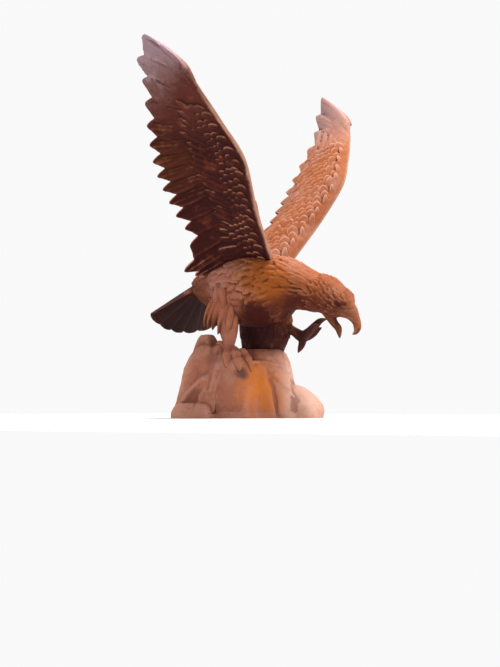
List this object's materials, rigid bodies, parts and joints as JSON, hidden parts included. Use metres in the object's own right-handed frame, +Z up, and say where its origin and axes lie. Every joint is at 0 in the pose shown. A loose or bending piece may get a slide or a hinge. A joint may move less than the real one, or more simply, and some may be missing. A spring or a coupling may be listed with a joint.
{
  "type": "eagle statue",
  "caption": "Rust-brown cast iron eagle with raised wings, standing on one foot on a rock plinth with its head thrust forward and its beak open.",
  "frame": {"origin": "middle of the plinth's underside", "axes": "+Z up; the bird looks along -Y, with its left side at +X"},
  "size_m": [1.1608, 0.7434, 1.2113],
  "materials": {
    "rusted_cast_iron": "bare iron under old orange, red and dark brown rust, pitted",
    "rusted_rock_casting": "bare iron under pinkish brown rust with orange patches"
  },
  "bodies": {
    "root": {"rock_plinth": "rusted_rock_casting", "eagle_body": "rusted_cast_iron", "wing_left": "rusted_cast_iron", "wing_right": "rusted_cast_iron"}
  },
  "joints": []
}
